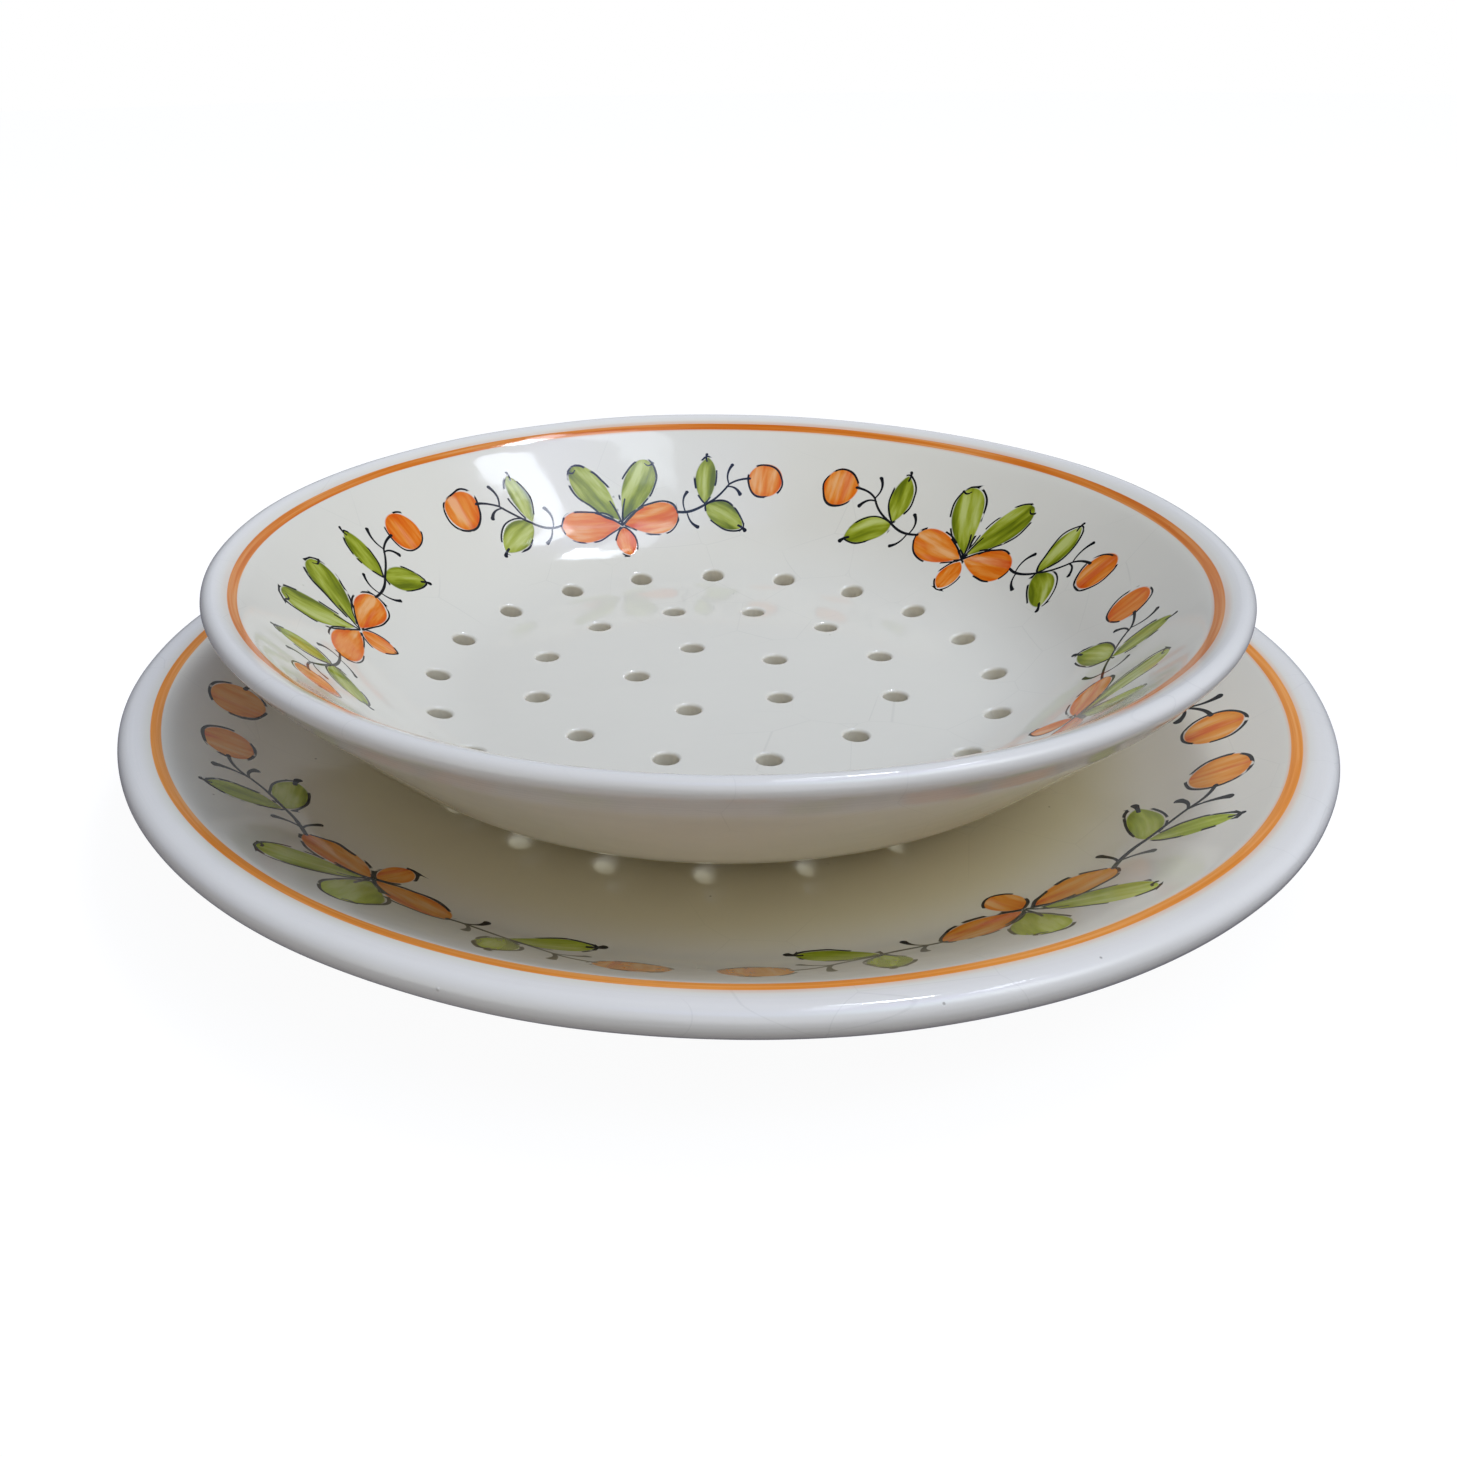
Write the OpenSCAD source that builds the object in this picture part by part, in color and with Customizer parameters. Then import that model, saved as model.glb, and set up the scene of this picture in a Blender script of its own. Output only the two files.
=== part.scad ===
// Berry colander bowl standing on its own plate, both turned in thick glazed earthenware.
// Millimetres, +Z up. The origin is the middle of the plate's foot, on the table.
// Each piece is one turned section; the bowl is then pierced with three rings of drain holes.

/* [Plate] */
// Width of the plate over its rolled rim
plate_w = 270; // [220:1:320]
// Height of the middle of the rolled rim above the table
plate_rim_h = 24; // [20:0.5:25.5]
// Thickness of the rolled rim
plate_roll = 6.2; // [4.4:0.1:7]
// Width of the painted band, from the rolled rim in to the top of the wall
plate_band_w = 5.9; // [3:0.1:10]
// Slope of the painted band, in degrees
plate_band_slope = 7; // [2:0.5:14]
// How far the wall reaches inwards, from its top to where its slope, drawn on, meets the flat well
plate_wall_w = 28.4; // [25:0.1:34]
// Radius of the long curve that joins the well to the wall
plate_curve_r = 72; // [40:1:84]
// Thickness of the plate's body
plate_t = 6; // [4:0.1:7]
// Height of the plate's foot ring
plate_foot_h = 4; // [2.5:0.1:6]
// Share of the well's width that the plate's foot ring takes
plate_foot_share = 0.79; // [0.6:0.01:0.85]
// Thickness of the plate's foot ring
plate_foot_t = 7; // [4:0.5:12]

/* [Bowl] */
// Width of the bowl over its rolled lip
bowl_w = 228; // [200:1:250]
// Height of the bowl from its foot to the top of its lip
bowl_h = 45.6; // [42:0.2:60]
// Thickness of the rolled lip
bowl_lip = 4.6; // [3.6:0.1:5.6]
// Width at which the slope of the wall, drawn on, meets the flat floor
bowl_floor_w = 147; // [134:1:160]
// Radius of the curve that joins the floor to the wall
bowl_curve_r = 40; // [20:1:44]
// Width of the painted ledge, from the lip in to the top of the wall
bowl_ledge_w = 5.1; // [3:0.1:8]
// Slope of the painted ledge, in degrees
bowl_ledge_slope = 27.5; // [18:0.5:32]
// Thickness of the wall
bowl_wall_t = 6.8; // [5:0.1:7.5]
// Thickness of the floor
bowl_floor_t = 8; // [6.5:0.1:9]
// Height of the bowl's foot ring
bowl_foot_h = 3.5; // [2.5:0.1:6]
// Width of the bowl's foot ring, outside
bowl_foot_w = 112; // [106:1:114]
// Thickness of the bowl's foot ring
bowl_foot_t = 6; // [4:0.5:6]

/* [Drain holes] */
// Width of a drain hole
hole_w = 5.6; // [3:0.1:7]
// Width of the softened edge round the mouth of a hole
mouth_w = 0.8; // [0.2:0.1:1.2]
// Holes in the inner ring
inner_holes = 5; // [3:1:8]
// Holes in the middle ring
middle_holes = 12; // [6:1:18]
// Holes in the outer ring
outer_holes = 20; // [10:1:30]
// How far outside the bowl's foot ring the outer ring of holes sits
outer_hole_gap = 9.8; // [6:0.1:14]
// How far inside the bowl's foot ring the middle ring of holes sits
middle_hole_gap = 7.4; // [5:0.1:12]
// Share of the middle ring's width that the inner ring of holes takes
inner_ring_share = 0.432; // [0.3:0.01:0.6]
// Notches that let water out from under the foot ring
notches = 3; // [0:1:6]
// Width of a notch in the foot ring
notch_w = 4.4; // [3:0.1:5]

/* [Hidden] */
$fn = 96;
// Angle of the first hole of each ring and of the first notch, in degrees
inner_angle = 36.3;
middle_angle = 16.6;
outer_angle = 1.4;
notch_angle = 30;
// Slope of the flank between the bowl's wall and its lip, in degrees
bowl_flank_slope = 60;
// How far below the middle of the lip the flank starts
bowl_flank_h = 5.9;
// Radius that softens the corner between the plate's wall and its band
plate_band_soft = 2.5;
// Radius that softens the corner between the bowl's wall and its ledge
bowl_ledge_soft = 8;
// Radius that softens the start of the flank under the lip
bowl_flank_soft = 10;
// Radius on the edges of both foot rings
foot_soft = 1.2;
// How far a cut runs past the surface that it opens
overrun = 2;

half_turn = 180;
quarter_turn = half_turn / 2;

plate_well_h = plate_foot_h + plate_t;
bowl_floor_h = plate_well_h + bowl_foot_h + bowl_floor_t;

outer_ring_r = bowl_foot_w / 2 + outer_hole_gap;
middle_ring_r = bowl_foot_w / 2 - bowl_foot_t - middle_hole_gap;
inner_ring_r = middle_ring_r * inner_ring_share;

// A point moved by a length in a direction, in degrees from the r axis.
function moved(p, len, turn) = p + len * [cos(turn), sin(turn)];
// The direction from one point to another, in degrees.
function aim(p, q) = atan2(q[1] - p[1], q[0] - p[0]);
// Where the line through p, at an angle, meets the line through q, at another.
function meet(p, p_turn, q, q_turn) =
    moved(p, ((q[0] - p[0]) * sin(q_turn) - (q[1] - p[1]) * cos(q_turn)) / sin(q_turn - p_turn), p_turn);

// The corners of an outline run anticlockwise, each as [r, z, softening radius].
function spot(c) = [c[0], c[1]];
function after(list, i) = list[(i + 1) % len(list)];
function before(list, i) = list[(i + len(list) - 1) % len(list)];
// How far the outline turns at a corner: positive at an outer corner, negative at an inner one.
function bend(list, i) =
    let (turn = aim(spot(list[i]), spot(after(list, i))) - aim(spot(before(list, i)), spot(list[i])))
    turn > half_turn ? turn - 360 : turn < -half_turn ? turn + 360 : turn;
// Where the softened corner leaves the straight edge before it and joins the one after it.
function leave(list, i) =
    moved(spot(list[i]), list[i][2] * tan(abs(bend(list, i)) / 2), aim(spot(list[i]), spot(before(list, i))));
function join(list, i) =
    moved(spot(list[i]), list[i][2] * tan(abs(bend(list, i)) / 2), aim(spot(list[i]), spot(after(list, i))));
function soft(c) = c[2] > 0;

// The sliver between a softened corner's true arc and the chord under it.
module corner_sliver(list, i) {
    turn = bend(list, i);
    from = leave(list, i);
    to = join(list, i);
    inward = aim(from, to) + (turn > 0 ? quarter_turn : -quarter_turn);
    half_chord = norm(to - from) / 2;
    middle = moved((from + to) / 2, list[i][2] * cos(turn / 2), inward);
    intersection() {
        translate(middle) circle(r = list[i][2]);
        polygon([
            from,
            to,
            moved(to, -half_chord, inward),
            moved(from, -half_chord, inward)
        ]);
    }
}

// A closed section from its corners, with true arcs where a corner is softened.
module soft_outline(list) {
    difference() {
        union() {
            polygon([for (i = [0:len(list) - 1]) each soft(list[i]) ? [leave(list, i), join(list, i)] : [spot(list[i])]]);
            for (i = [0:len(list) - 1])
                if (soft(list[i]) && bend(list, i) > 0) corner_sliver(list, i);
        }
        for (i = [0:len(list) - 1])
            if (soft(list[i]) && bend(list, i) < 0) corner_sliver(list, i);
    }
}

// A ring that the piece stands on, let into the body above it.
module foot_outline(w, t, base, top) {
    soft_outline([
        [w / 2 - t, base, foot_soft],
        [w / 2, base, foot_soft],
        [w / 2, top, 0],
        [w / 2 - t, top, 0]
    ]);
}

// The plate: flat well, long curve, sloping wall, painted band and rolled rim.
module plate_section() {
    roll_r = plate_roll / 2;
    rim = [plate_w / 2 - roll_r, plate_rim_h];
    band_end = moved(rim, roll_r, quarter_turn + plate_band_slope);
    shoulder = moved(band_end, -plate_band_w, plate_band_slope);
    well = [shoulder[0] - plate_wall_w, plate_well_h];
    slope = aim(well, shoulder);
    under = [well[0] + plate_t * tan(slope / 2), plate_foot_h];
    soft_outline([
        [0, plate_foot_h, 0],
        [under[0], under[1], plate_curve_r + plate_t],
        concat(meet(under, slope, rim, quarter_turn), 0),
        concat(band_end, 0),
        concat(shoulder, plate_band_soft),
        concat(well, plate_curve_r),
        [0, plate_well_h, 0]
    ]);
    translate(rim) circle(r = roll_r);
    foot_outline(2 * well[0] * plate_foot_share, plate_foot_t, 0, plate_foot_h + plate_t / 2);
}

module plate() {
    color([0.93, 0.92, 0.88])
    rotate_extrude() plate_section();
}

// The bowl: flat floor, curve, sloping wall, painted ledge and rolled lip over a steeper flank.
lip_r = bowl_lip / 2;
lip = [bowl_w / 2 - lip_r, plate_well_h + bowl_h - lip_r];
ledge_end = moved(lip, lip_r, quarter_turn + bowl_ledge_slope);
ledge = moved(ledge_end, -bowl_ledge_w, bowl_ledge_slope);
floor_corner = [bowl_floor_w / 2, bowl_floor_h];
bowl_slope = aim(floor_corner, ledge);

module bowl_section() {
    outside = moved(floor_corner, bowl_wall_t, bowl_slope - quarter_turn);
    base = [0, bowl_floor_h - bowl_floor_t];
    under = meet(outside, bowl_slope, base, 0);
    flank = meet(outside, bowl_slope, lip - [0, bowl_flank_h], 0);
    soft_outline([
        concat(base, 0),
        concat(under, bowl_curve_r),
        concat(flank, bowl_flank_soft),
        concat(meet(flank, bowl_flank_slope, lip, 0), 0),
        concat(ledge_end, 0),
        concat(ledge, bowl_ledge_soft),
        concat(floor_corner, bowl_curve_r),
        [0, bowl_floor_h, 0]
    ]);
    translate(lip) circle(r = lip_r);
    foot_outline(bowl_foot_w, bowl_foot_t, plate_well_h, base[1] + bowl_floor_t / 2);
}

// Each hole is punched square to the floor, so those on the curve lean outwards as they go down.
function curve_start() = floor_corner[0] - bowl_curve_r * tan(bowl_slope / 2);
function lean(r) = asin(max(0, r - curve_start()) / bowl_curve_r);
function floor_at(r) = bowl_floor_h + bowl_curve_r * (1 - cos(lean(r)));

// A drain hole with a softened mouth, above and below, its middle on the floor's surface.
module drain_hole() {
    bore_r = hole_w / 2;
    translate([0, 0, -bowl_floor_t - 2 * overrun])
        cylinder(h = bowl_floor_t + 3 * overrun, r = bore_r);
    translate([0, 0, -mouth_w])
        cylinder(h = mouth_w + overrun, r1 = bore_r, r2 = bore_r + mouth_w + overrun);
}

module hole_ring(count, r, first_angle) {
    for (i = [0:count - 1])
        rotate([0, 0, first_angle + i * 360 / count])
            translate([r, 0, floor_at(r)])
                rotate([0, -lean(r), 0]) drain_hole();
}

module foot_notch() {
    translate([bowl_foot_w / 2 - bowl_foot_t - overrun, 0, plate_well_h])
        rotate([0, quarter_turn, 0]) cylinder(h = bowl_foot_t + 2 * overrun, r = notch_w / 2);
}

module colander_bowl() {
    color([0.96, 0.95, 0.92])
    difference() {
        rotate_extrude() bowl_section();
        hole_ring(inner_holes, inner_ring_r, inner_angle);
        hole_ring(middle_holes, middle_ring_r, middle_angle);
        hole_ring(outer_holes, outer_ring_r, outer_angle);
        for (i = [0:1:notches - 1])
            rotate([0, 0, notch_angle + i * 360 / notches]) foot_notch();
    }
}

plate();
colander_bowl();
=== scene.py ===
# %% [markdown]
# # A berry colander bowl on its plate
# Two turned and glazed pieces are dressed here: a wide plate, and a bowl with drain holes standing
# on it. The solids fix where everything is. This script turns finer skins over them, paints the
# glaze, and lights the set. Lengths are written in millimetres and become metres at the end of
# each shape.

import math

import bmesh
import bpy
from mathutils import Matrix, Vector, noise
from mathutils.geometry import delaunay_2d_cdt


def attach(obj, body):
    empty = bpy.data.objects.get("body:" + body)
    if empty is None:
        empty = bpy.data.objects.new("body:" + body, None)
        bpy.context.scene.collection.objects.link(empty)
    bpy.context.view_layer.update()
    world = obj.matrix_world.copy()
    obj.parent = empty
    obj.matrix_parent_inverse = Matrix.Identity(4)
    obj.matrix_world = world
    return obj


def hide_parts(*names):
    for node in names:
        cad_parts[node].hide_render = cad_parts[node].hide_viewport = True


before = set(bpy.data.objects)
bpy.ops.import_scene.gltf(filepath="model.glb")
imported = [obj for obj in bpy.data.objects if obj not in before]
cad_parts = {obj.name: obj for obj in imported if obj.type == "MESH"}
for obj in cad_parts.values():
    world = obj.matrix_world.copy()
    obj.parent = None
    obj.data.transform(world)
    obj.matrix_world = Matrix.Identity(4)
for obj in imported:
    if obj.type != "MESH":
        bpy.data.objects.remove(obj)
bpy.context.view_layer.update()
MM = 0.001
print("nodes in the frame:", sorted(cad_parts))

# %% [markdown]
# ## Sections made of corners
# A thrown pot is one outline turned round an axis, so the outline is all that has to be drawn.
# Drawing it as corners with softening radii keeps every number one that a potter could measure.
# A Bezier curve could draw it too, but then a radius would have to be guessed from handles.


# %% Points, directions and softened corners
def moved(point, length, turn):
    return Vector((point[0] + length * math.cos(turn), point[1] + length * math.sin(turn)))


def aim(start, end):
    return math.atan2(end[1] - start[1], end[0] - start[0])


def meet(p, p_turn, q, q_turn):
    along = (q[0] - p[0]) * math.sin(q_turn) - (q[1] - p[1]) * math.cos(q_turn)
    return moved(p, along / math.sin(q_turn - p_turn), p_turn)


def arc(middle, radius, start, end, step):
    count = max(2, math.ceil(abs(end - start) * radius / step))
    return [moved(middle, radius, start + (end - start) * i / count) for i in range(count + 1)]


def outline(corners, step):
    """A line through corners (point, radius), each softened by an arc of its radius."""
    line = [Vector(corners[0][0])]
    for (before, _), (corner, radius), (after, _) in zip(corners, corners[1:], corners[2:]):
        come, go = aim(before, corner), aim(corner, after)
        bend = (go - come + math.pi) % (2 * math.pi) - math.pi
        side = math.copysign(math.pi / 2, bend)
        start = moved(corner, -radius * math.tan(abs(bend) / 2), come)
        if radius:
            middle = moved(start, radius, come + side)
            line += arc(middle, radius, come - side, come - side + bend, step)
        else:
            line.append(Vector(corner))
    return line + [Vector(corners[-1][0])]


def resampled(line, step):
    """The same line with points no further apart than the step."""
    points = [line[0]]
    for start, end in zip(line, line[1:]):
        count = math.ceil((end - start).length / step)
        points += [start.lerp(end, i / count) for i in range(1, count + 1)]
    return points


def melted(line, times):
    """Glaze fills and rounds every corner: each point drifts towards its neighbours."""
    for _ in range(times):
        inner = [a / 4 + b / 2 + c / 4 for a, b, c in zip(line, line[1:], line[2:])]
        line = [line[0], *inner, line[-1]]
    return line


# %% [markdown]
# ## The plate's section
# The line runs from the middle of the well, up the wall, over the painted band and the rolled rim,
# and back underneath. The foot ring is drawn in the same line, because a skin has no need of
# separate solids. In the photograph the shade turns quite quickly where the well meets the wall,
# so the curve there is tighter than the solid's. They are at most about a millimetre apart.

# %% Sizes of the plate
plate_width = 270
plate_rim_height = 24
plate_roll = 3.1
band_width, band_slope = 5.9, math.radians(7)
wall_reach = 28.4
well_height = 10
plate_thick = 6
plate_foot_share, plate_foot_thick = 0.79, 7
well_curve, under_curve = 36, 78
band_soft, foot_soft, foot_round = 2.5, 0.6, 1.2
plate_roll_end = math.radians(-52)

plate_rim = Vector((plate_width / 2 - plate_roll, plate_rim_height))
band_end = moved(plate_rim, plate_roll, math.pi / 2 + band_slope)
plate_shoulder = moved(band_end, -band_width, band_slope)
well = Vector((plate_shoulder.x - wall_reach, well_height))
plate_slope = aim(well, plate_shoulder)
print("plate wall slopes by", round(math.degrees(plate_slope), 1), "degrees")

# %% Draw the plate's section
base = well_height - plate_thick
well_under = Vector((well.x + plate_thick * math.tan(plate_slope / 2), base))
plate_foot_out = well.x * plate_foot_share
plate_foot_in = plate_foot_out - plate_foot_thick
plate_up = [((0, well_height), 0), (well, well_curve), (plate_shoulder, band_soft), (band_end, 0)]
plate_top = outline(plate_up, step=1.5)
plate_round = arc(plate_rim, plate_roll, math.pi / 2 + band_slope, plate_roll_end, step=0.45)
plate_below = outline(
    [
        (meet(well_under, plate_slope, plate_rim, math.pi / 2), 0),
        (well_under, under_curve),
        ((plate_foot_out, base), foot_soft),
        ((plate_foot_out, 0), foot_round),
        ((plate_foot_in, 0), foot_round),
        ((plate_foot_in, base), foot_soft),
        ((0, base), 0),
    ],
    step=1.5,
)
plate_line = resampled(plate_top[:-1] + plate_round + plate_below, step=1.6)
plate_line = melted(plate_line, times=2)
print("plate section:", len(plate_line), "points")

# %% [markdown]
# ## The bowl's section
# It is drawn in three runs. The floor with its holes is left for later, so only the plain shell
# and the foot ring are lines. Two small functions give the height of the pierced floor's top and
# underside.

# %% Sizes of the bowl
bowl_width, bowl_height = 228, 45.6
lip_r, lip_end = 2.3, math.radians(-22)
ledge_width, ledge_slope, ledge_soft = 5.1, math.radians(27.5), 8
floor_width, floor_height, floor_thick = 147, 21.5, 8
bowl_curve = 40
wall_thick = 6.8
flank_drop, flank_slope, flank_soft = 5.9, math.radians(60), 10
foot_out, foot_in, foot_height = 56, 50, well_height
foot_flare, foot_fillet = 1.6, 0.8

bowl_lip = Vector((bowl_width / 2 - lip_r, well_height + bowl_height - lip_r))
ledge_end = moved(bowl_lip, lip_r, math.pi / 2 + ledge_slope)
ledge = moved(ledge_end, -ledge_width, ledge_slope)
floor_corner = Vector((floor_width / 2, floor_height))
bowl_slope = aim(floor_corner, ledge)
outside = moved(floor_corner, wall_thick, bowl_slope - math.pi / 2)
under_floor = floor_height - floor_thick
under_corner = meet(outside, bowl_slope, (0, under_floor), 0)
flank_start = meet(outside, bowl_slope, (0, bowl_lip.y - flank_drop), 0)
flank_end = meet(flank_start, flank_slope, bowl_lip, 0)
print("bowl wall slopes by", round(math.degrees(bowl_slope), 1), "degrees")


# %% Heights of the pierced floor
def curve_height(r, corner, low):
    """Height at radius r of a flat that curves up into the wall."""
    start = corner - bowl_curve * math.tan(bowl_slope / 2)
    reach = max(0, r - start)
    return low + bowl_curve - math.sqrt(bowl_curve**2 - reach**2)


def top_height(r):
    return curve_height(r, floor_corner.x, floor_height)


def under_height(r):
    return curve_height(r, under_corner.x, under_floor)


# %% Draw the shell and the foot ring
pierced_r, seam = 74, 0.6
bowl_up = [((0, floor_height), 0), (floor_corner, bowl_curve), (ledge, ledge_soft), (ledge_end, 0)]
bowl_top = outline(bowl_up, step=1.2)
lip_round = arc(bowl_lip, lip_r, math.pi / 2 + ledge_slope, lip_end, step=0.4)
bowl_outside = outline(
    [
        (flank_end, 0),
        (flank_start, flank_soft),
        (under_corner, bowl_curve),
        ((0, under_floor), 0),
    ],
    step=1.2,
)
over_lip = melted(resampled(bowl_top[:-1] + lip_round + bowl_outside[1:], step=1.2), times=3)
start = next(i for i, p in enumerate(over_lip) if p.x > pierced_r + seam)
stop = next(i for i, p in enumerate(over_lip) if i > start and p.x < pierced_r + seam)
bowl_shell_line = over_lip[start:stop]
foot_corners = [
    ((foot_out + foot_flare, under_floor), 0),
    ((foot_out, under_floor), foot_fillet),
    ((foot_out, foot_height), foot_round),
    ((foot_in, foot_height), foot_round),
    ((foot_in, under_floor), foot_fillet),
    ((foot_in - foot_flare, under_floor), 0),
]
foot_line = melted(resampled(outline(foot_corners, step=0.5), step=0.7), times=2)
print("bowl shell:", len(bowl_shell_line), "points; foot ring:", len(foot_line), "points")

# %% [markdown]
# ## Turning a section
# Each point of the line becomes a ring of vertices, and neighbouring rings are joined by faces. A
# Screw modifier would do the same. Doing it by hand leaves the rings in reach, so that pierced
# sheets can be sewn to them.


# %% Rings and the faces between them
def ring_of(bm, r, z, turns):
    return [bm.verts.new((r * math.cos(a), r * math.sin(a), z)) for a in turns]


def sew(bm, ring, other):
    count = len(ring)
    for i in range(count):
        j = (i + 1) % count
        bm.faces.new((ring[i], other[i], other[j], ring[j]))


def turned(bm, line, turns):
    """Turns the line round the axis and gives back its first and last rings."""
    rings = [ring_of(bm, p.x, p.y, turns) for p in line]
    for ring, other in zip(rings, rings[1:]):
        sew(bm, ring, other)
    return rings[0], rings[-1]


def capped(bm, ring, height):
    middle = bm.verts.new((0, 0, height))
    for i, vert in enumerate(ring):
        bm.faces.new((middle, vert, ring[(i + 1) % len(ring)]))


around = 384
even_turns = [2 * math.pi * i / around for i in range(around)]
print("vertices round each ring:", around)

# %% [markdown]
# ## Drain holes
# A hole is a column of small rings: a rounded mouth, the bore, and a rounded mouth below. A
# Boolean would cut them quicker, but it leaves slivers that show up as dents in a glossy glaze.
# Instead the sheet round the holes is filled with a Delaunay mesh, and the columns are sewn to it.

# %% Where the holes are
hole_r, mouth_w = 2.75, 0.8
mouth_r = hole_r + mouth_w
mouth_rings, hole_turns = 7, 40


def hand_set(first, count, slow, quick):
    """Evenly spaced angles, each a little off to one side or the other, as punched by hand."""
    angles = []
    for i in range(count):
        a = first + 360 / count * i
        off = slow * math.cos(math.radians(a + 11)) + quick * math.cos(math.radians(2 * a - 60))
        angles.append(a + off)
    return angles


hole_rings = [
    (18.4, hand_set(36.3, 5, 1.2, 0)),
    (42.6, hand_set(16.6, 12, 1.5, 1.2)),
    (65.8, hand_set(1.4, 20, 0, 1.25)),
]
drain_holes = [(r, math.radians(a)) for r, angles in hole_rings for a in angles]
print("drain holes:", len(drain_holes))


# %% The shape of one hole
class DrainHole:
    """A hole square to the floor where it stands: the outer ones lean outwards as they go down."""

    def __init__(self, r, turn):
        curve_start = floor_corner.x - bowl_curve * math.tan(bowl_slope / 2)
        lean = math.asin(max(0, r - curve_start) / bowl_curve)
        spin = Matrix.Rotation(turn, 3, "Z")
        self.axis = spin @ Vector((-math.sin(lean), 0, math.cos(lean)))
        self.across = spin @ Vector((math.cos(lean), 0, math.sin(lean)))
        self.side = self.axis.cross(self.across)
        self.top = spin @ Vector((r, 0, top_height(r)))
        self.bottom = self.landed(self.top, under_height)

    def landed(self, point, height):
        """The point slid along the hole, in ever smaller steps, until it lies on a surface."""
        for _ in range(6):
            gap = height(math.hypot(point.x, point.y)) - point.z
            point = point + self.axis * (gap / self.axis.z)
        return point

    def circle(self, radius, depth, height):
        """A ring round the hole, lying on the surface and then sunk into it."""
        middle = self.top if height is top_height else self.bottom
        points = []
        for i in range(hole_turns):
            a = 2 * math.pi * i / hole_turns
            out = self.across * (radius * math.cos(a)) + self.side * (radius * math.sin(a))
            points.append(self.landed(middle + out, height) + self.axis * depth)
        return points

    def column(self):
        """The rings from the top sheet down to the under sheet, without the two on the sheets."""
        angles = [math.pi / 2 * (i + 1) / mouth_rings for i in range(mouth_rings)]
        curve = [(mouth_w * (1 - math.sin(a)), mouth_w * (1 - math.cos(a))) for a in angles]
        upper = [self.circle(hole_r + out, -deep, top_height) for out, deep in curve]
        lower = [self.circle(hole_r + out, deep, under_height) for out, deep in reversed(curve)]
        bore = [[a.lerp(b, k / 4) for a, b in zip(upper[-1], lower[0])] for k in (1, 2, 3)]
        return upper + bore + lower


holes = [DrainHole(r, turn) for r, turn in drain_holes]
print("the outer holes lean by", round(math.degrees(math.acos(holes[-1].axis.z)), 1), "degrees")


# %% A sheet with its holes left open
mesh_step = 2.6
collar, clear = 0.8, 1.7


def pierced_sheet(bm, height, r_in, r_out, turns):
    """Fills a ring or disc between two radii, and gives back its rims and the rim of each hole."""
    inside = [h for h in holes if r_in < math.hypot(h.top.x, h.top.y) < r_out]
    points, groups = [], []
    loops = {}

    def add_loop(name, places):
        loops[name] = list(range(len(points), len(points) + len(places)))
        points.extend(places)
        groups.extend([name] * len(places))

    add_loop("out", [Vector((r_out * math.cos(a), r_out * math.sin(a))) for a in turns])
    if r_in:
        add_loop("in", [Vector((r_in * math.cos(a), r_in * math.sin(a))) for a in turns])
    for hole in inside:
        add_loop(hole, [p.xy for p in hole.circle(mouth_r, 0, height)])
        points.extend(p.xy for p in hole.circle(mouth_r + collar, 0, height))
        groups.extend([None] * hole_turns)
    middles = [(h.top if height is top_height else h.bottom).xy for h in inside]
    bands = int((r_out - r_in) / mesh_step)
    for band in range(bands):
        r = r_in + (band + 0.5) * (r_out - r_in) / bands
        count = max(6, round(2 * math.pi * r / mesh_step))
        for i in range(count):
            a = 2 * math.pi * i / count
            spot = Vector((math.cos(a), math.sin(a))) * r
            if all((spot - m).length > mouth_r + clear for m in middles):
                points.append(spot)
                groups.append(None)
    edges = []
    for loop in loops.values():
        edges += zip(loop, loop[1:] + loop[:1])
    flat, _, faces, origins, _, _ = delaunay_2d_cdt(points, edges, [], 0, 1e-5)
    verts = [bm.verts.new((p.x, p.y, height(p.length))) for p in flat]
    place = {source: verts[i] for i, sources in enumerate(origins) for source in sources}
    for face in faces:
        names = {groups[origins[i][0]] for i in face}
        if len(names) > 1 or names <= {None, "out"}:
            bm.faces.new([verts[i] for i in face])
    return {name: [place[i] for i in loop] for name, loop in loops.items()}


# %% [markdown]
# ## Uneven by hand
# No thrown pot is quite round: the rim rises and falls, and the wall leans a little in and out.
# The wander here is a slow noise. It grows towards the rim, and is nothing at the foot, where the
# pot has to stand flat. Without a seed the noise would give other rims on every run.


# %% Let a piece wander
slow_scale, quick_scale, quick_share = 1.1, 4, 0.35
noise.seed_set(21)


def wandered(bm, low_r, high_r, amount, seed):
    for vert in bm.verts:
        r = math.hypot(vert.co.x, vert.co.y)
        grow = min(1, max(0, (r - low_r) / (high_r - low_r))) ** 2
        if grow:
            turn = Vector((vert.co.x, vert.co.y, 0)) / r
            slow = noise.noise_vector(turn * slow_scale + Vector((seed, 0, 0)))
            quick = noise.noise_vector(turn * quick_scale + Vector((0, seed, 0)))
            wander = (slow + quick * quick_share) * amount * grow
            vert.co += Vector((turn.x * wander.x, turn.y * wander.x, wander.z))


def finished(bm, name, body, slot, *nodes):
    """Turns a drawing in millimetres into a smooth object that stands for the plain solid."""
    bmesh.ops.recalc_face_normals(bm, faces=bm.faces)
    bmesh.ops.scale(bm, vec=(MM, MM, MM), verts=bm.verts)
    mesh = bpy.data.meshes.new(name)
    bm.to_mesh(mesh)
    bm.free()
    mesh.polygons.foreach_set("use_smooth", [True] * len(mesh.polygons))
    piece = bpy.data.objects.new(name, mesh)
    bpy.context.scene.collection.objects.link(piece)
    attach(piece, body)
    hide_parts(*nodes)
    print(name, "has", len(mesh.polygons), "faces")
    return piece


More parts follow.
